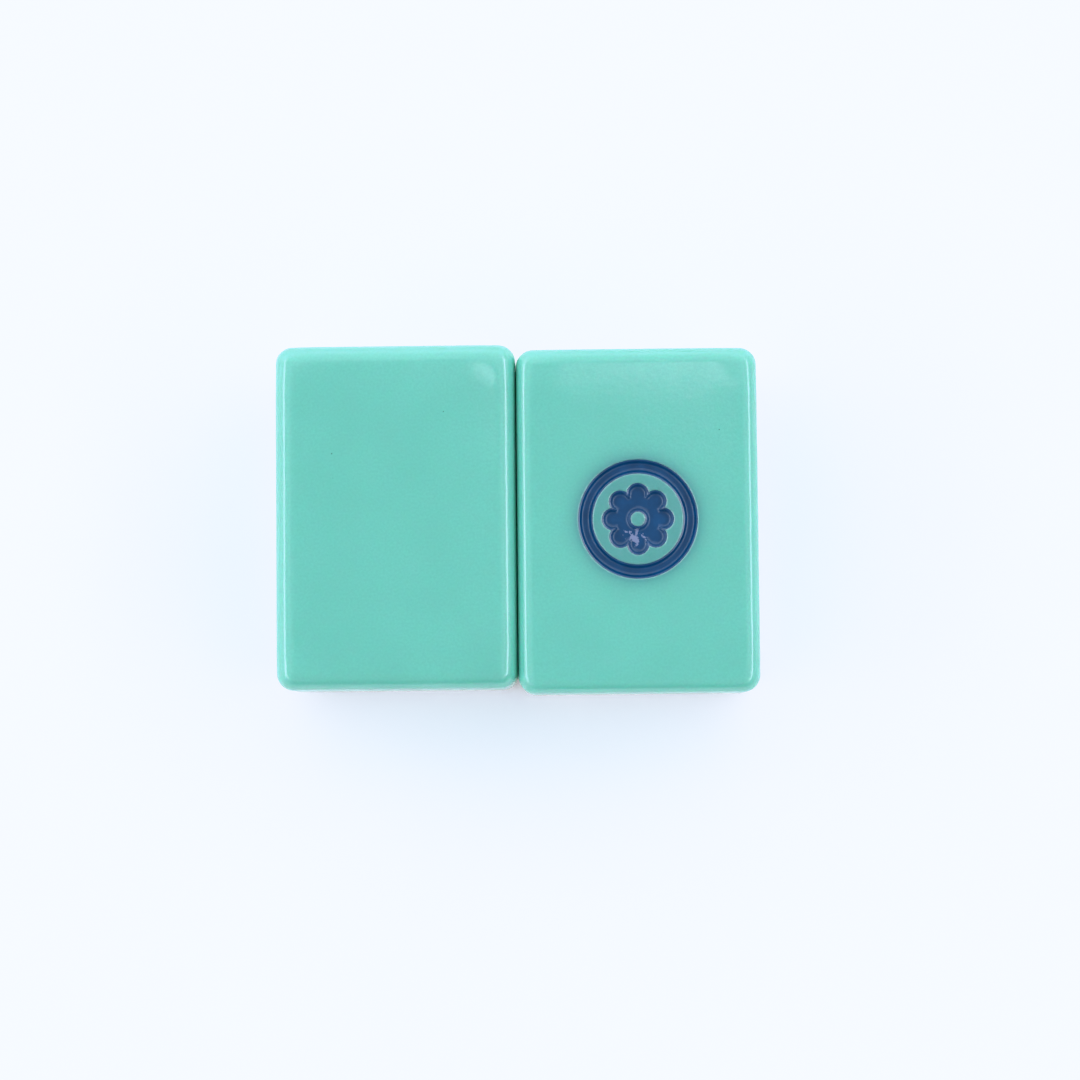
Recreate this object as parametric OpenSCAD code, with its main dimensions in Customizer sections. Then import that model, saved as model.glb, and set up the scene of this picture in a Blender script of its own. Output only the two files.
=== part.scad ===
/* [Tile] */
// Width of a tile between its long sides
tile_w = 20.95; // [17:0.05:30]
// Length of a tile between its short ends
tile_l = 30; // [24:0.5:42]
// Radius that rounds the edges and corners of a tile
edge_r = 1.5; // [0.6:0.1:2.4]

/* [Layers] */
// Thickness of the coloured face layer
face_t = 8.7; // [5:0.1:14]
// Thickness of the pale back layer
back_t = 4.2; // [2.6:0.1:8]
// Thickness of the cured adhesive film between the layers
bond_t = 0.1; // [0.05:0.05:0.3]
// Distance that the film stays back from the side walls
bond_setback = 0.15; // [0.05:0.05:0.4]

/* [Engraving] */
// Depth of the engraving below the face
cut_depth = 0.6; // [0.4:0.05:1]
// Distance that an engraved wall leans in from its rim to its floor
wall_lean = 0.35; // [0.1:0.05:0.4]
// Outer radius of the ring at its rim
ring_r = 5.2; // [4.8:0.1:7]
// Width of the ring's groove at its rim
ring_w = 1.3; // [0.9:0.05:1.6]
// Width of the face left standing between the ring and the petals
land_w = 0.75; // [0.3:0.05:1]
// Number of petals round the flower
petals = 8; // [5:1:10]
// Radius of a petal's round end at its rim
petal_r = 1; // [0.7:0.05:1.3]
// How far the notch between two petals may reach in from their tips
petal_notch = 0.85; // [0.3:0.05:1]
// Radius of the boss left standing in the flower's heart
boss_r = 0.6; // [0.3:0.05:0.8]

/* [Paint] */
// Thickness of the paint on an engraved wall, measured level
paint_wall = 0.08; // [0.04:0.01:0.12]
// Thickness of the paint that has settled on an engraved floor
paint_floor = 0.12; // [0.05:0.01:0.2]

/* [Pair] */
// Gap between the two tiles where they lie side by side
pair_gap = 0.05; // [0.05:0.05:3]
// How far the blank tile lies ahead of the engraved one
pair_stagger = 0.5; // [0:0.05:3]

/* [Hidden] */
$fn = 96;
// Height of the seam's two faces, and of the tile's top
back_top = back_t;
face_base = back_t + bond_t;
tile_t = face_base + face_t;
// Run of an engraved wall for each millimetre of depth
slope = wall_lean / cut_depth;
// Radii of the flower that follow from the ring around it
ring_inner_r = ring_r - ring_w;
flower_r = ring_inner_r - land_w;
petal_reach = flower_r - petal_r;
heart_r = flower_r - petal_notch;
// How far a cutting shape runs past the surface that it cuts
over = 0.2;
// Where each tile stands, from the middle of the pair
tile_x = (tile_w + pair_gap) / 2;
tile_y = pair_stagger / 2;

mint = [0.45, 0.80, 0.75];
navy = [0.16, 0.30, 0.47];
ivory = [0.94, 0.93, 0.88];
amber = [0.86, 0.83, 0.70];

// Puts a shape on the engraved tile, to the right
module on_engraved_tile() {
    translate([tile_x, -tile_y, 0]) children();
}

// Puts a shape on the blank tile, to the left
module on_blank_tile() {
    translate([-tile_x, tile_y, 0]) children();
}

// Section of a layer's side: square below, with a quarter round on top
module side_section(t) {
    square([edge_r, t - edge_r]);
    intersection() {
        translate([0, t - edge_r]) circle(r = edge_r);
        translate([0, t - edge_r]) square(edge_r);
    }
}

// Straight side of a layer, run along X for the given length
module straight_side(t, run) {
    translate([-run / 2, 0, 0])
        rotate([90, 0, 90])
            linear_extrude(run) side_section(t);
}

// Round corner of a layer, turned from the same section
module round_corner(t) {
    rotate_extrude(angle = 90) side_section(t);
}

// A layer of the tile: flat below, with every other edge and corner rounded
module layer(t) {
    flat_w = tile_w - 2 * edge_r;
    flat_l = tile_l - 2 * edge_r;
    translate([-flat_w / 2, -flat_l / 2, 0]) cube([flat_w, flat_l, t]);
    for (turn = [0, 180]) rotate(turn) {
        translate([0, flat_l / 2, 0]) straight_side(t, flat_w);
        translate([flat_w / 2, 0, 0]) rotate(-90) straight_side(t, flat_l);
        translate([flat_w / 2, flat_l / 2, 0]) round_corner(t);
        translate([-flat_w / 2, flat_l / 2, 0]) rotate(90) round_corner(t);
    }
}

// Face layer in its place on a tile
module face_layer() {
    translate([0, 0, face_base]) layer(face_t);
}

// Back layer in its place on a tile, with its rounded edge at the bottom
module back_layer() {
    translate([0, 0, back_top]) mirror([0, 0, 1]) layer(back_t);
}

// Adhesive film between the layers, set back from the walls all round
module bond_film() {
    film_r = edge_r - bond_setback;
    film_w = tile_w - 2 * bond_setback;
    film_l = tile_l - 2 * bond_setback;
    translate([0, 0, back_top]) linear_extrude(bond_t) {
        square([film_w, film_l - 2 * film_r], center = true);
        square([film_w - 2 * film_r, film_l], center = true);
        for (x = [-1, 1], y = [-1, 1])
            translate([x * (film_w / 2 - film_r), y * (film_l / 2 - film_r)]) circle(r = film_r);
    }
}

// Round engraved pool whose wall leans in; r is its radius at the rim, at height 0
module pool(r, floor_z, top_z) {
    translate([0, 0, floor_z])
        cylinder(h = top_z - floor_z, r1 = r + slope * floor_z, r2 = r + slope * top_z);
}

// Round post left standing in a pool, wider at its foot; r is its radius at the rim
module post(r, floor_z, top_z) {
    translate([0, 0, floor_z])
        cylinder(h = top_z - floor_z, r1 = r - slope * floor_z, r2 = r - slope * top_z);
}

// Groove of the ring, made smaller on every wall by inset
module ring_groove(inset, floor_z, top_z) {
    difference() {
        pool(ring_r - inset, floor_z, top_z);
        post(ring_inner_r + inset, floor_z - over, top_z + over);
    }
}

// Recess of the flower, made smaller on every wall by inset
module flower_recess(inset, floor_z, top_z) {
    difference() {
        union() {
            pool(heart_r - inset, floor_z, top_z);
            for (i = [0 : petals - 1])
                rotate(i * 360 / petals)
                    translate([petal_reach, 0, 0]) pool(petal_r - inset, floor_z, top_z);
        }
        post(boss_r + inset, floor_z - over, top_z + over);
    }
}

module engraved_face() {
    color(mint) on_engraved_tile() difference() {
        face_layer();
        translate([0, 0, tile_t]) ring_groove(0, -cut_depth, over);
        translate([0, 0, tile_t]) flower_recess(0, -cut_depth, over);
    }
}

module engraved_bond() {
    color(amber) on_engraved_tile() bond_film();
}

module engraved_back() {
    color(ivory) on_engraved_tile() back_layer();
}

module ring_paint() {
    color(navy) on_engraved_tile() translate([0, 0, tile_t]) difference() {
        ring_groove(0, -cut_depth, 0);
        ring_groove(paint_wall, paint_floor - cut_depth, over);
    }
}

module flower_paint() {
    color(navy) on_engraved_tile() translate([0, 0, tile_t]) difference() {
        flower_recess(0, -cut_depth, 0);
        flower_recess(paint_wall, paint_floor - cut_depth, over);
    }
}

module blank_face() {
    color(mint) on_blank_tile() face_layer();
}

module blank_bond() {
    color(amber) on_blank_tile() bond_film();
}

module blank_back() {
    color(ivory) on_blank_tile() back_layer();
}

engraved_face();
engraved_bond();
engraved_back();
ring_paint();
flower_paint();
blank_face();
blank_bond();
blank_back();
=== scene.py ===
import math

import bmesh
import bpy
from mathutils import Matrix, Vector


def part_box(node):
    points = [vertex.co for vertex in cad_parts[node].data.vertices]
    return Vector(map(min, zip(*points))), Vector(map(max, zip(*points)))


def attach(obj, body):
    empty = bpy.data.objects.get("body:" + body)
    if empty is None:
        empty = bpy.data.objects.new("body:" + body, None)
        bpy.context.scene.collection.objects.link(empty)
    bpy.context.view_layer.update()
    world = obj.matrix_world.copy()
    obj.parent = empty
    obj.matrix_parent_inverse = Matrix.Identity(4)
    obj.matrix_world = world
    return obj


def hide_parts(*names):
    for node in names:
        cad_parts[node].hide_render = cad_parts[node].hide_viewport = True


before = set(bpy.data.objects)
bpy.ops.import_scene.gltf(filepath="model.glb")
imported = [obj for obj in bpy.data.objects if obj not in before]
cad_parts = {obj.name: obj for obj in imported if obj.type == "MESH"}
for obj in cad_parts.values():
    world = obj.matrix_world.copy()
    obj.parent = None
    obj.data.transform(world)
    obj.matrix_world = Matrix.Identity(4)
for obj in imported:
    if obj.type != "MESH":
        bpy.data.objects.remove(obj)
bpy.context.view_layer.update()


# Back layers
# The lower third of each tile is a plate of pale ivory plastic, sawn to size and tumbled until every edge
# is round. It is bonded under the face layer, and its flat underside lies on the table.
MM = 0.001
TILES = ("engraved", "blank")
EDGE_R = 1.5 * MM
EDGE_STEPS = 16
CELL = 0.4 * MM
ON_LINE = 1e-9
# How far in the tumbled round reaches at a tile's left and right side, and how square its curve is
SOFT_EDGES = {"engraved": (1.5 * MM, 1.5 * MM), "blank": (1.8 * MM, 1.75 * MM)}
SOFT_POWER = 2.3
CROWN = 0.16 * MM
CROWN_REACH = 7 * MM
CROWN_POWER = 3
CORNER_DROP = 0.3 * MM
CORNER_REACH = 4 * MM
SHARP_ANGLE = math.radians(18)


def fade(distance, reach):
    """1 at no distance, falling smoothly to 0 at reach."""
    t = min(max(distance / reach, 0.0), 1.0)
    return 1 - t * t * (3 - 2 * t)


def cut_lines(bm, axis, low, high):
    """Cuts level lines across a mesh, one cell apart, from low to high along an axis."""
    normal = Vector((0, 0, 0))
    normal[axis] = 1
    count = round((high - low) / CELL)
    for i in range(count + 1):
        point = normal * (low + (high - low) * i / count)
        geometry = bm.verts[:] + bm.edges[:] + bm.faces[:]
        bmesh.ops.bisect_plane(bm, geom=geometry, dist=ON_LINE, plane_co=point, plane_no=normal)


def tumbled_drop(from_side, from_end, soft_edge):
    """How far tumbling lowers the outer surface at a place, by its distances from the side and end walls."""
    from_wall = min(from_side, from_end)
    if max(from_side, from_end) < EDGE_R:
        from_wall = EDGE_R - math.hypot(EDGE_R - from_side, EDGE_R - from_end)
    inward = min(max(from_wall / soft_edge, 0.0), 1.0)
    edge = soft_edge * (1 - (1 - (1 - inward) ** SOFT_POWER) ** (1 / SOFT_POWER))
    crown = CROWN * (1 - min(from_wall / CROWN_REACH, 1.0)) ** CROWN_POWER
    corner = CORNER_DROP * fade(from_side, CORNER_REACH) * fade(from_end, CORNER_REACH)
    return edge + crown + corner


def tumble(bm, low, high, seam_z, outer_z, soft_edges):
    """Lowers every point off the seam as tumbling does: rounded edges, a faint crown, worn corners."""
    down = math.copysign(1, seam_z - outer_z)
    left_soft, right_soft = soft_edges
    for vert in bm.verts:
        if abs(vert.co.z - seam_z) < CELL:
            continue
        from_side = min(vert.co.x - low.x, high.x - vert.co.x)
        from_end = min(vert.co.y - low.y, high.y - vert.co.y)
        across = (vert.co.x - low.x) / (high.x - low.x)
        soft_edge = left_soft + (right_soft - left_soft) * across
        vert.co.z = outer_z + down * tumbled_drop(from_side, from_end, soft_edge)


def tumbled_layer(tile, layer, outer_up):
    """A layer of a tile as a bmesh: square where it is bonded, rounded on every other edge and corner."""
    low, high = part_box(tile + "_" + layer)
    outer_z, seam_z = (high.z, low.z) if outer_up else (low.z, high.z)
    place = Matrix.Translation((low + high) / 2) @ Matrix.Diagonal((*(high - low), 1))
    bm = bmesh.new()
    bmesh.ops.create_cube(bm, size=1, matrix=place)
    seam_verts = [v for v in bm.verts if abs(v.co.z - seam_z) < CELL]
    rounded = [e for e in bm.edges if not all(v in seam_verts for v in e.verts)]
    bmesh.ops.bevel(bm, geom=rounded, offset=EDGE_R, offset_type="OFFSET", segments=EDGE_STEPS,
                    profile=0.5, affect="EDGES", material=-1)
    cut_lines(bm, 0, low.x + EDGE_R, high.x - EDGE_R)
    cut_lines(bm, 1, low.y + EDGE_R, high.y - EDGE_R)
    tumble(bm, low, high, seam_z, outer_z, SOFT_EDGES[tile])
    return bm


def smooth(mesh):
    """Shades a mesh smoothly, apart from the edges where its faces meet at a sharp angle."""
    mesh.polygons.foreach_set("use_smooth", [True] * len(mesh.polygons))
    mesh.set_sharp_from_angle(angle=SHARP_ANGLE)


def piece_from(bm, name, material):
    """Turns a bmesh into a smooth piece of one material, with its faces pointing outwards."""
    bmesh.ops.recalc_face_normals(bm, faces=bm.faces)
    mesh = bpy.data.meshes.new(name)
    bm.to_mesh(mesh)
    bm.free()
    mesh.materials.append(material)
    smooth(mesh)
    piece = bpy.data.objects.new(name, mesh)
    bpy.context.scene.collection.objects.link(piece)
    return piece


class Nodes:
    """Adds and links the nodes of one node tree."""

    def __init__(self, tree):
        self.tree = tree

    def add(self, kind, **settings):
        made = self.tree.nodes.new(kind)
        for key, value in settings.items():
            setattr(made, key, value)
        return made

    def link(self, output, socket):
        self.tree.links.new(output, socket)

    def combine(self, operation, first, second=0.0):
        """Combines two values, either of which may be a number."""
        made = self.add("ShaderNodeMath", operation=operation)
        for socket, value in zip(made.inputs, (first, second)):
            if isinstance(value, (int, float)):
                socket.default_value = value
            else:
                self.link(value, socket)
        return made.outputs[0]

    def ramp(self, value, low, high, at_low, at_high, change="SMOOTHSTEP"):
        """A change from at_low to at_high as a value goes from low to high, and none outside that."""
        made = self.add("ShaderNodeMapRange", interpolation_type=change)
        self.link(value, made.inputs["Value"])
        made.inputs["From Min"].default_value = low
        made.inputs["From Max"].default_value = high
        made.inputs["To Min"].default_value = at_low
        made.inputs["To Max"].default_value = at_high
        return made.outputs["Result"]


# Values between which almost all of a noise pattern lies
NOISE_LOW = 0.3
NOISE_HIGH = 0.7


class Finish(Nodes):
    """The nodes of a piece's material, whose patterns lie on the piece's own coordinates."""

    def __init__(self, name):
        self.material = bpy.data.materials.new(name)
        self.material.use_nodes = True
        super().__init__(self.material.node_tree)
        self.shader = self.tree.nodes["Principled BSDF"]
        self.place = self.add("ShaderNodeTexCoord").outputs["Object"]

    def noise(self, size, detail=2.0, roughness=0.5):
        """Soft noise whose blotches are about size across; its output runs from 0 to 1."""
        made = self.add("ShaderNodeTexNoise")
        made.inputs["Scale"].default_value = 1 / size
        made.inputs["Detail"].default_value = detail
        made.inputs["Roughness"].default_value = roughness
        self.link(self.place, made.inputs["Vector"])
        return made.outputs["Fac"]

    def spread(self, noise, low=0.0, high=1.0):
        """Spreads a noise pattern evenly over the range from low to high."""
        return self.ramp(noise, NOISE_LOW, NOISE_HIGH, low, high, "LINEAR")

    def mix(self, share, low, high):
        """Mixes two colours by share, where a colour may also be an output."""
        made = self.add("ShaderNodeMix", data_type="RGBA")
        self.link(share, made.inputs["Factor"])
        # This node has sockets for numbers and vectors too: its colours go in at 6 and 7 and come out at 2
        for socket, colour in ((made.inputs[6], low), (made.inputs[7], high)):
            if isinstance(colour, tuple):
                socket.default_value = (*colour, 1)
            else:
                self.link(colour, socket)
        return made.outputs[2]

    def away_from(self, point):
        """The distance of each place from a point."""
        made = self.add("ShaderNodeVectorMath", operation="DISTANCE")
        self.link(self.place, made.inputs[0])
        made.inputs[1].default_value = point
        return made.outputs["Value"]

    def specks(self, spacing, radius, share):
        """1 on a few round specks of that radius, strewn about one spacing apart, and 0 elsewhere."""
        cells = self.add("ShaderNodeTexVoronoi")
        cells.inputs["Scale"].default_value = 1 / spacing
        self.link(self.place, cells.inputs["Vector"])
        picked = self.add("ShaderNodeSeparateColor")
        self.link(cells.outputs["Color"], picked.inputs["Color"])
        near = self.combine("LESS_THAN", cells.outputs["Distance"], radius / spacing)
        chosen = self.combine("LESS_THAN", picked.outputs["Red"], share)
        return self.combine("MULTIPLY", near, chosen)

    def bump(self, height, depth, normal=None):
        """Raises the surface by depth where height is 1, on top of an earlier bump's normal."""
        made = self.add("ShaderNodeBump")
        made.inputs["Strength"].default_value = 1.0
        made.inputs["Distance"].default_value = depth
        self.link(height, made.inputs["Height"])
        if normal is not None:
            self.link(normal, made.inputs["Normal"])
        return made.outputs["Normal"]


# A tone is a share of the plastic's own colour
CLOUD_SIZE = 6 * MM
CLOUD_TONES = (0.975, 1.025)
GRAIN_SIZE = 0.2 * MM
GRAIN_TONE = 0.86
GRAIN_SHARE = 0.5
SPECK_SPACING = 1.6 * MM
SPECK_R = 0.07 * MM
SPECK_SHARE = 0.1
SPECK_TONE = 0.45
POLISH_SIZE = 1.2 * MM
WAVE_SIZE = 4 * MM
FINE_SIZE = 0.45 * MM
PLASTIC_IOR = 1.6
IVORY = (0.73, 0.70, 0.60)
IVORY_ROUGHNESS = (0.2, 0.3)
IVORY_WAVES = 0.02 * MM
IVORY_FINE = 0.003 * MM


def toned(colour, tone):
    """A darker or lighter tone of a colour."""
    return tuple(min(c * tone, 1.0) for c in colour)


def polished_plastic(name, colour, roughness, wave_depth, fine_depth):
    """Polished cast plastic: faint clouds, grain and dust specks in its colour, slow waves, a fine bump."""
    plastic = Finish(name)
    cloud_dark, cloud_light = (toned(colour, tone) for tone in CLOUD_TONES)
    clouded = plastic.mix(plastic.spread(plastic.noise(CLOUD_SIZE, detail=3)), cloud_dark, cloud_light)
    grain = plastic.spread(plastic.noise(GRAIN_SIZE), 0.0, GRAIN_SHARE)
    grained = plastic.mix(grain, clouded, toned(colour, GRAIN_TONE))
    specks = plastic.specks(SPECK_SPACING, SPECK_R, SPECK_SHARE)
    speckled = plastic.mix(specks, grained, toned(colour, SPECK_TONE))
    plastic.link(speckled, plastic.shader.inputs["Base Color"])
    polish = plastic.spread(plastic.noise(POLISH_SIZE, detail=4, roughness=0.6), *roughness)
    plastic.link(polish, plastic.shader.inputs["Roughness"])
    waves = plastic.bump(plastic.noise(WAVE_SIZE, detail=1), wave_depth)
    fine = plastic.bump(plastic.noise(FINE_SIZE), fine_depth, waves)
    plastic.link(fine, plastic.shader.inputs["Normal"])
    plastic.shader.inputs["IOR"].default_value = PLASTIC_IOR
    return plastic


ivory_plastic = polished_plastic("ivory_plastic", IVORY, IVORY_ROUGHNESS, IVORY_WAVES, IVORY_FINE)
for tile in TILES:
    layer = tumbled_layer(tile, "back", outer_up=False)
    back = piece_from(layer, tile + "_back_layer", ivory_plastic.material)
    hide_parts(tile + "_back")
    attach(back, tile + "_tile")


# Bond films
# A hairline of cured clear adhesive joins the two layers. It stops just short of the walls, so it shows
# only as a fine amber line in the seam.
AMBER = (0.55, 0.48, 0.30)
AMBER_TONES = (0.7, 1.15)
AMBER_PATCH = 1.5 * MM
ADHESIVE_ROUGHNESS = (0.3, 0.6)
ADHESIVE_GRAIN = 0.6 * MM

adhesive = Finish("cured_adhesive")
amber_dark, amber_light = (toned(AMBER, tone) for tone in AMBER_TONES)
patches = adhesive.spread(adhesive.noise(AMBER_PATCH, detail=3))
adhesive.link(adhesive.mix(patches, amber_dark, amber_light), adhesive.shader.inputs["Base Color"])
dullness = adhesive.spread(adhesive.noise(ADHESIVE_GRAIN), *ADHESIVE_ROUGHNESS)
adhesive.link(dullness, adhesive.shader.inputs["Roughness"])
for tile in TILES:
    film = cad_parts[tile + "_bond"]
    film.data.materials.clear()
    film.data.materials.append(adhesive.material)


# Blank face layer
# The upper two thirds of a tile are mint plastic, cast through and through in its colour, tumbled round at
# the edges and buffed to a soft gloss. This tile is a spare, so nothing is cut into its face.
MINT = (0.149, 0.558, 0.446)
MINT_ROUGHNESS = (0.11, 0.17)
MINT_WAVES = 0.012 * MM
MINT_FINE = 0.008 * MM
MINT_SPECULAR = 0.7
MINT_GLOW = (0.4, 1.0, 0.7)
GLOW_DEPTH = 1.2 * MM


def mint_plastic(name):
    """Mint plastic that lets light a little way in."""
    plastic = polished_plastic(name, MINT, MINT_ROUGHNESS, MINT_WAVES, MINT_FINE)
    plastic.shader.inputs["Subsurface Weight"].default_value = 1.0
    plastic.shader.inputs["Subsurface Radius"].default_value = MINT_GLOW
    plastic.shader.inputs["Subsurface Scale"].default_value = GLOW_DEPTH
    plastic.shader.inputs["Specular IOR Level"].default_value = MINT_SPECULAR
    return plastic


blank_mint = mint_plastic("blank_mint")
blank_face = piece_from(tumbled_layer("blank", "face", outer_up=True), "blank_face_layer",
                        blank_mint.material)
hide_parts("blank_face")
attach(blank_face, "blank_tile")


# Engraved face layer
# The same mint plastic, with a ring around a round flower cut into it by a tapered cutter. The walls lean in
# to a flat floor and a boss stays in the flower's heart. Around the engraving a soft navy halo is painted
# into the mint's colour: painted shade, for the light that the paint takes up inside the translucent
# plastic.
CUT_DEPTH = 0.6 * MM
WALL_LEAN = 0.35 * MM
RING_R = 5.2 * MM
RING_W = 1.3 * MM
LAND_W = 0.75 * MM
PETALS = 8
PETAL_R = 1.0 * MM
PETAL_NOTCH = 0.85 * MM
BOSS_R = 0.6 * MM
RING_INNER_R = RING_R - RING_W
FLOWER_R = RING_INNER_R - LAND_W
PETAL_REACH = FLOWER_R - PETAL_R
HEART_R = FLOWER_R - PETAL_NOTCH
# The lip rounds the engraving's rim: how far it reaches out and down, and the share of that at its middle
LIP = 0.06 * MM
LIP_BOW = 0.3
OVER = 0.2 * MM
ROUND_STEPS = 320
SAME_POINT = 1e-8
NAVY = (0.002, 0.052, 0.148)
# Painted shade around the engraving: the navy share painted into the mint, how fast it fades outwards from
# the ring's rim, and the least distance it is counted from
PAINTED_SHADE_SHARE = 0.46
HALO_REACH = 0.62 * MM
HALO_LAND = 0.15 * MM
face_low, face_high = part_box("engraved_face")
DOT_CENTRE = Vector(((face_low.x + face_high.x) / 2, (face_low.y + face_high.y) / 2, face_high.z))


def ring_outer(angle, inset):
    """Outer wall of the ring, moved in by inset."""
    return RING_R - inset


def ring_inner(angle, inset):
    """Inner wall of the ring, moved towards the groove by inset."""
    return RING_INNER_R + inset


def flower_edge(angle, inset):
    """Wall of the flower, moved in by inset: the heart or the nearest petal, whichever reaches further."""
    turn = 2 * math.pi / PETALS
    off = (angle + turn / 2) % turn - turn / 2
    radius = PETAL_R - inset
    aside = PETAL_REACH * math.sin(off)
    if radius <= abs(aside):
        return HEART_R - inset
    return max(HEART_R - inset, PETAL_REACH * math.cos(off) + math.sqrt(radius * radius - aside * aside))


def boss_edge(angle, inset):
    """Wall of the boss in the flower's heart, moved towards the flower by inset."""
    return BOSS_R + inset


def lean_at(depth):
    """How far a wall has leaned in from its rim at a depth."""
    return WALL_LEAN * depth / CUT_DEPTH


def loft(rows):
    """A closed band through rows of (edge, inset, height): each is a loop, extruded from the one before."""
    bm = bmesh.new()
    verts = bmesh.ops.create_circle(bm, segments=ROUND_STEPS, radius=RING_R)["verts"]
    loop = bm.edges[:]
    for number, (edge, inset, height) in enumerate(rows + rows[:1]):
        if number:
            made = bmesh.ops.extrude_edge_only(bm, edges=loop)["geom"]
            verts = [g for g in made if isinstance(g, bmesh.types.BMVert)]
            loop = [g for g in made if isinstance(g, bmesh.types.BMEdge)]
        for vert in verts:
            angle = math.atan2(vert.co.y, vert.co.x)
            radius = edge(angle, inset)
            vert.co = (radius * math.cos(angle), radius * math.sin(angle), height)
    bmesh.ops.remove_doubles(bm, verts=bm.verts, dist=SAME_POINT)
    bmesh.ops.translate(bm, verts=bm.verts, vec=DOT_CENTRE)
    return bm


def cutter(outer, inner, material):
    """The space that the engraving cutter sweeps between two walls, from its floor to above the face."""
    side = [(-LIP, OVER), (-LIP, 0), (-LIP_BOW * LIP, -LIP_BOW * LIP), (lean_at(LIP), -LIP),
            (WALL_LEAN, -CUT_DEPTH)]
    rows = [(outer, inset, height) for inset, height in side]
    rows += [(inner, inset, height) for inset, height in reversed(side)]
    return piece_from(loft(rows), "cutter", material)


def engrave(piece, tool):
    """Takes a cutter's space away from a piece, and removes the cutter."""
    change = piece.modifiers.new("engraving", "BOOLEAN")
    change.operation = "DIFFERENCE"
    change.solver = "EXACT"
    change.object = tool
    scene_now = bpy.context.evaluated_depsgraph_get()
    mesh = bpy.data.meshes.new_from_object(piece.evaluated_get(scene_now))
    piece.modifiers.clear()
    piece.data = mesh
    smooth(mesh)
    bpy.data.objects.remove(tool)


engraved_mint = mint_plastic("engraved_mint")
# Painted shade: the mint's colour is mixed towards navy near the ring, fading outwards, for the shade inside
# the translucent plastic around the paint
off_rim = engraved_mint.combine("SUBTRACT", engraved_mint.away_from(DOT_CENTRE), RING_R)
off_paint = engraved_mint.combine("MAXIMUM", off_rim, HALO_LAND)
decay = engraved_mint.combine("EXPONENT", engraved_mint.combine("MULTIPLY", off_paint, -1 / HALO_REACH))
painted_shade = engraved_mint.combine("MULTIPLY", decay, PAINTED_SHADE_SHARE)
mint_base = engraved_mint.shader.inputs["Base Color"]
engraved_mint.link(engraved_mint.mix(painted_shade, mint_base.links[0].from_socket, NAVY), mint_base)

engraved_face = piece_from(tumbled_layer("engraved", "face", outer_up=True), "engraved_face_layer",
                           engraved_mint.material)
for outer, inner in ((ring_outer, ring_inner), (flower_edge, boss_edge)):
    engrave(engraved_face, cutter(outer, inner, engraved_mint.material))
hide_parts("engraved_face")
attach(engraved_face, "engraved_tile")


# Ring paint and flower paint
# Glossy navy enamel is brushed into the engraving and wiped off the face. It lines the walls thinly, lies
# thicker on the floor and creeps up at their foot as it dries. On the flower's floor one pale patch is
# painted
# in: its pale colour is a painted reflection of a lamp on the glossy paint, and the paint is a little duller
# there.
PAINT_WALL = 0.08 * MM
PAINT_FLOOR = 0.12 * MM
# The paint's first step below the lip, in as a share of PAINT_WALL and down, and the depth where it is full
RIM_SHARE = 0.7
RIM_STEP = 0.01 * MM
FULL_DEPTH = 2 * LIP
CREEP_R = 0.3 * MM
CREEP_STEPS = 8
FLOOR_STEPS = 6
NAVY_TONES = (0.82, 1.18)
STREAK_SIZE = 1.4 * MM
ENAMEL_ROUGHNESS = (0.1, 0.18)
ENAMEL_GRAIN = 0.5 * MM
ENAMEL_WAVE_SIZE = 0.9 * MM
ENAMEL_WAVES = 0.009 * MM
ENAMEL_FINE_SIZE = 0.2 * MM
ENAMEL_FINE = 0.001 * MM
ENAMEL_IOR = 1.52
# Painted reflection: the pale colour of a lamp's glint painted on the flower's floor, where it lies, its
# size, how ragged its edge is, and how much duller the paint is there
GLINT_PAINT = (0.22, 0.26, 0.42)
GLINT_PLACE = Vector((-0.25, -1.6, -0.5)) * MM
GLINT_SIZE = 0.85 * MM
GLINT_TEAR = 0.5 * MM
GLINT_DULLNESS = 0.3
# The painted glint's share of the surface: below zero on plain paint, which also makes that glossier
PLAIN_PAINT = -0.3
FULL_GLINT = 0.8


def paint_side():
    """Points (inset, height) of the paint's skin down one wall, from the rim to where its floor begins."""
    slope = math.atan2(CUT_DEPTH, WALL_LEAN)
    floor = PAINT_FLOOR - CUT_DEPTH
    turn_back = CREEP_R * math.tan(slope / 2)
    foot = PAINT_WALL + lean_at(-floor)
    points = [(lean_at(LIP), -LIP), (PAINT_WALL * RIM_SHARE, -LIP - RIM_STEP),
              (PAINT_WALL + lean_at(FULL_DEPTH), -FULL_DEPTH)]
    for i in range(CREEP_STEPS + 1):
        angle = slope * (1 - i / CREEP_STEPS)
        inset = foot + turn_back - CREEP_R * math.sin(angle)
        points.append((inset, floor + CREEP_R * (1 - math.cos(angle))))
    return points


def across_floor(outer, inner, share):
    """A line on the floor, a share of the way from one wall to the other."""
    return lambda angle, inset: outer(angle, inset) * (1 - share) + inner(angle, inset) * share


def paint_skin(outer, inner):
    """The paint between two walls: its glossy skin, and the underside that grips the engraving."""
    side = paint_side()
    foot, floor = side[-1]
    rows = [(outer, inset, height) for inset, height in side]
    rows += [(across_floor(outer, inner, i / FLOOR_STEPS), foot, floor) for i in range(1, FLOOR_STEPS)]
    rows += [(inner, inset, height) for inset, height in reversed(side)]
    rows += [(inner, WALL_LEAN, -CUT_DEPTH), (outer, WALL_LEAN, -CUT_DEPTH)]
    return loft(rows)


enamel = Finish("navy_enamel")
navy_dark, navy_light = (toned(NAVY, tone) for tone in NAVY_TONES)
streaks = enamel.spread(enamel.noise(STREAK_SIZE, detail=4, roughness=0.6))
brushed = enamel.mix(streaks, navy_dark, navy_light)
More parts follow.
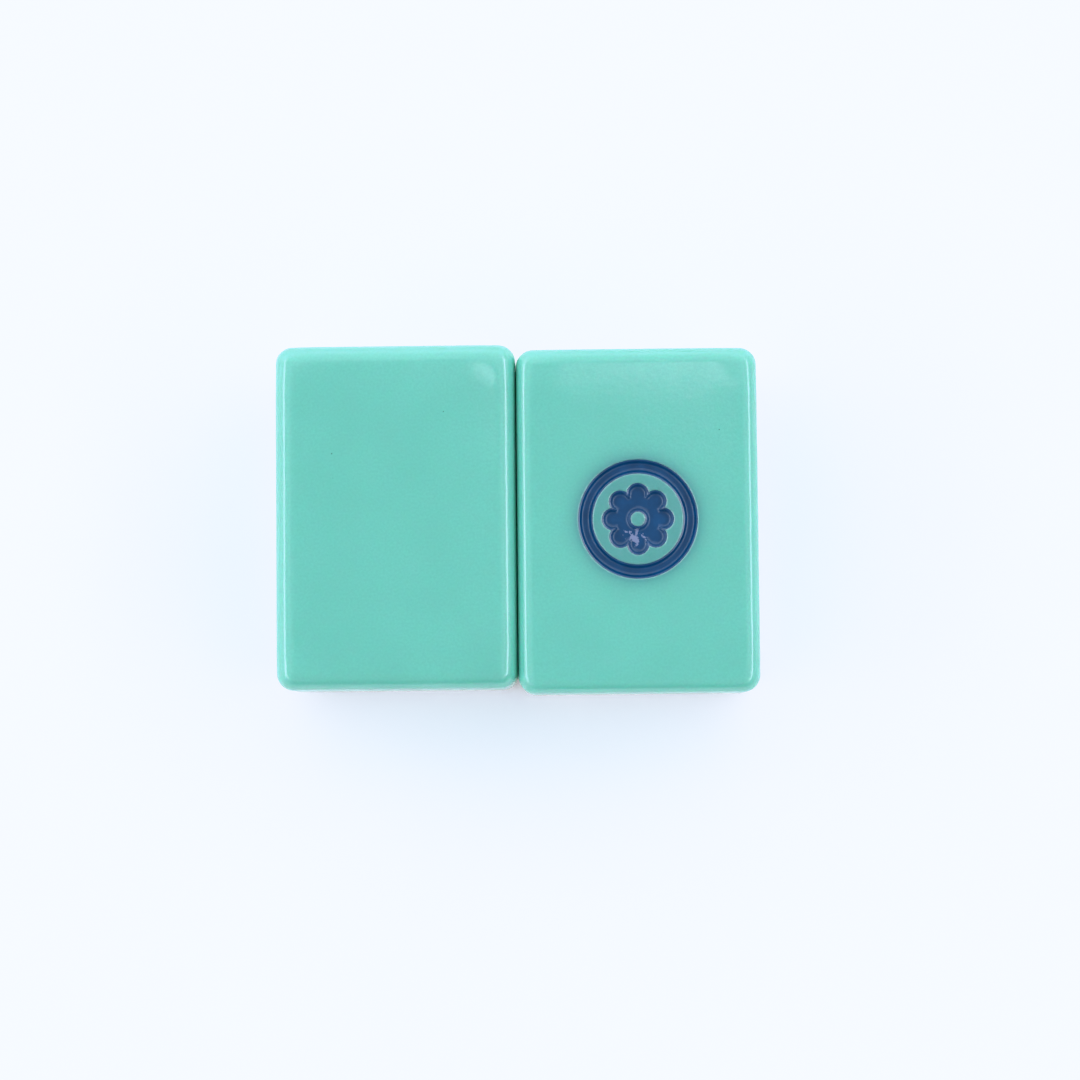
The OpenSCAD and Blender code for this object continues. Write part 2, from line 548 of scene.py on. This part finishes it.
# Painted reflection: a pale patch mixed into the paint's colour on the flower's floor stands in for a lamp's
# glint, and it also makes the paint there duller
off_glint = enamel.away_from(DOT_CENTRE + GLINT_PLACE)
nearness = enamel.combine("SUBTRACT", 1, enamel.combine("DIVIDE", off_glint, GLINT_SIZE))
tear = enamel.spread(enamel.noise(GLINT_TEAR, detail=3, roughness=0.6), -1.0, 1.0)
glint_share = enamel.spread(enamel.combine("ADD", nearness, tear), PLAIN_PAINT, FULL_GLINT)
enamel.link(enamel.mix(glint_share, brushed, GLINT_PAINT), enamel.shader.inputs["Base Color"])
dullness = enamel.spread(enamel.noise(ENAMEL_GRAIN, detail=3), *ENAMEL_ROUGHNESS)
roughened = enamel.combine("ADD", dullness, enamel.combine("MULTIPLY", glint_share, GLINT_DULLNESS))
enamel.link(roughened, enamel.shader.inputs["Roughness"])
waves = enamel.bump(enamel.noise(ENAMEL_WAVE_SIZE, detail=1), ENAMEL_WAVES)
fine = enamel.bump(enamel.noise(ENAMEL_FINE_SIZE, detail=1), ENAMEL_FINE, waves)
enamel.link(fine, enamel.shader.inputs["Normal"])
enamel.shader.inputs["IOR"].default_value = ENAMEL_IOR

for name, outer, inner in (("ring", ring_outer, ring_inner), ("flower", flower_edge, boss_edge)):
    paint = piece_from(paint_skin(outer, inner), name + "_enamel", enamel.material)
    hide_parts(name + "_paint")
    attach(paint, "engraved_tile")


# Table
# A plain white table top carries the tiles. It isn't part of the object.
WHITE = (0.975, 0.98, 0.985)
WHITE_TONES = (0.985, 1.01)
TABLE_CLOUD = 20 * MM
TABLE_ROUGHNESS = 0.6
TABLE_SIZE = 3.0

table_top = Finish("white_table")
table_dark, table_light = (toned(WHITE, tone) for tone in WHITE_TONES)
table_clouds = table_top.spread(table_top.noise(TABLE_CLOUD))
table_top.link(table_top.mix(table_clouds, table_dark, table_light), table_top.shader.inputs["Base Color"])
table_top.shader.inputs["Roughness"].default_value = TABLE_ROUGHNESS
table_bm = bmesh.new()
bmesh.ops.create_grid(table_bm, x_segments=1, y_segments=1, size=TABLE_SIZE / 2)
table = piece_from(table_bm, "table", table_top.material)


# Light
# A bright room: pale walls, the near one dimmer, under a grey ceiling. Low windows on the left and right
# draw thin lines along the rounded edges, and a hazy skylight, a little behind, lays a sheen on the faces.

# A wall's brightness low down and high up, and the rises in degrees between which it changes
LEFT_WALL = (1.7, 1.1)
RIGHT_WALL = (1.0, 1.15)
BACK_WALL = (1.9, 1.3)
NEAR_WALL = (0.2, 0.6)
WALL_RISE = (10, 45)
CEILING = 0.45
CEILING_RISE = (60, 80)
# A window's brightness, and the rises of its lower edge, middle and upper edge
LEFT_WINDOW = 4.8
LEFT_WINDOW_SPAN = (19, 27, 35)
RIGHT_WINDOW = 5.2
RIGHT_WINDOW_SPAN = (24, 32, 40)
# The skylight's lean to the right and back, and how far its core and its rim spread, in degrees
SKYLIGHT = 1.8
SKYLIGHT_LEAN = (4.0, 12.5)
SKYLIGHT_SPREAD = (0.5, 6.5)
DAYLIGHT = (0.90, 0.97, 1.10)
LEAST_LEVEL = 0.0001

tent = bpy.data.worlds.new("tent")
tent.use_nodes = True
room = Nodes(tent.node_tree)
background = tent.node_tree.nodes["Background"]
heading = room.add("ShaderNodeTexCoord").outputs["Generated"]


def along(direction):
    """How far a heading goes along a direction, from -1 to 1."""
    made = room.add("ShaderNodeVectorMath", operation="DOT_PRODUCT")
    room.link(heading, made.inputs[0])
    made.inputs[1].default_value = Vector(direction).normalized()
    return made.outputs["Value"]


def heights(rises):
    """The heights in the room, from 0 to 1, of rises in degrees."""
    return [math.sin(math.radians(degrees)) for degrees in rises]


def wall(direction):
    """The share of the wall on that side in each heading; the four walls' shares add up to 1."""
    toward = room.combine("MAXIMUM", along(direction), 0)
    level = room.combine("SUBTRACT", 1, room.combine("MULTIPLY", up, up))
    return room.combine("DIVIDE", room.combine("MULTIPLY", toward, toward),
                        room.combine("MAXIMUM", level, LEAST_LEVEL))


def window(wall_share, span, brightness):
    """A soft bright band on a wall, over a span of rises."""
    low, middle, high = heights(span)
    rising = room.ramp(up, low, middle, 0, brightness)
    falling = room.ramp(up, middle, high, 1, 0)
    return room.combine("MULTIPLY", wall_share, room.combine("MULTIPLY", rising, falling))


up = along((0, 0, 1))
left, right, behind, near = (wall(side) for side in ((-1, 0, 0), (1, 0, 0), (0, 1, 0), (0, -1, 0)))
under_ceiling = room.ramp(up, *heights(CEILING_RISE), 1, 0)
glow = room.ramp(up, *heights(CEILING_RISE), 0, CEILING)
for share, brightness in ((left, LEFT_WALL), (right, RIGHT_WALL), (behind, BACK_WALL), (near, NEAR_WALL)):
    bright = room.combine("MULTIPLY", share, room.ramp(up, *heights(WALL_RISE), *brightness))
    glow = room.combine("ADD", glow, room.combine("MULTIPLY", bright, under_ceiling))
glow = room.combine("ADD", glow, window(left, LEFT_WINDOW_SPAN, LEFT_WINDOW))
glow = room.combine("ADD", glow, window(right, RIGHT_WINDOW_SPAN, RIGHT_WINDOW))
lean_x, lean_y = (math.tan(math.radians(degrees)) for degrees in SKYLIGHT_LEAN)
core, rim = (math.cos(math.radians(degrees)) for degrees in SKYLIGHT_SPREAD)
glow = room.combine("ADD", glow, room.ramp(along((lean_x, lean_y, 1)), rim, core, 0, SKYLIGHT))
background.inputs["Color"].default_value = (*DAYLIGHT, 1)
room.link(glow, background.inputs["Strength"])
bpy.context.scene.world = tent


# Exposure
# The picture is exposed so that the white table comes out nearly white, with a cool cast. The brightest
# tones roll off on a soft shoulder.

# For red, green and blue: where each tone (in, out) lies on the way to the whitest
SHOULDERS = (((0.65, 0.66), (0.85, 0.84), (1.1, 0.92)),
             ((0.65, 0.66), (0.85, 0.86), (1.1, 0.945)),
             ((0.65, 0.66), (0.85, 0.9), (1.0, 0.99)))
WHITEST = (0.93, 0.955, 1.0)
WHITE_END = 1.5

view = bpy.context.scene.view_settings
view.view_transform = "Standard"
view.use_curve_mapping = True
tones = view.curve_mapping
tones.clip_max_x = WHITE_END
for curve, shoulder, whitest in zip(tones.curves, SHOULDERS, WHITEST):
    curve.points[0].location = (0, 0)
    curve.points[1].location = (WHITE_END, whitest)
    for tone_in, tone_out in shoulder:
        curve.points.new(tone_in, tone_out)
tones.update()


# Camera
# It looks down almost straight from above, a little from the near side, as the photograph does.
CAMERA_PLACE = Vector((5.038, -19.159, 271.453)) * MM
CAMERA_TURN = (3.7943, 0.7064, -0.5553)
LENS_MM = 100
SENSOR_MM = 36

camera_data = bpy.data.cameras.new("camera")
camera_data.lens = LENS_MM
camera_data.sensor_width = SENSOR_MM
camera = bpy.data.objects.new("camera", camera_data)
camera.location = CAMERA_PLACE
camera.rotation_euler = [math.radians(a) for a in CAMERA_TURN]
bpy.context.scene.collection.objects.link(camera)
bpy.context.scene.camera = camera
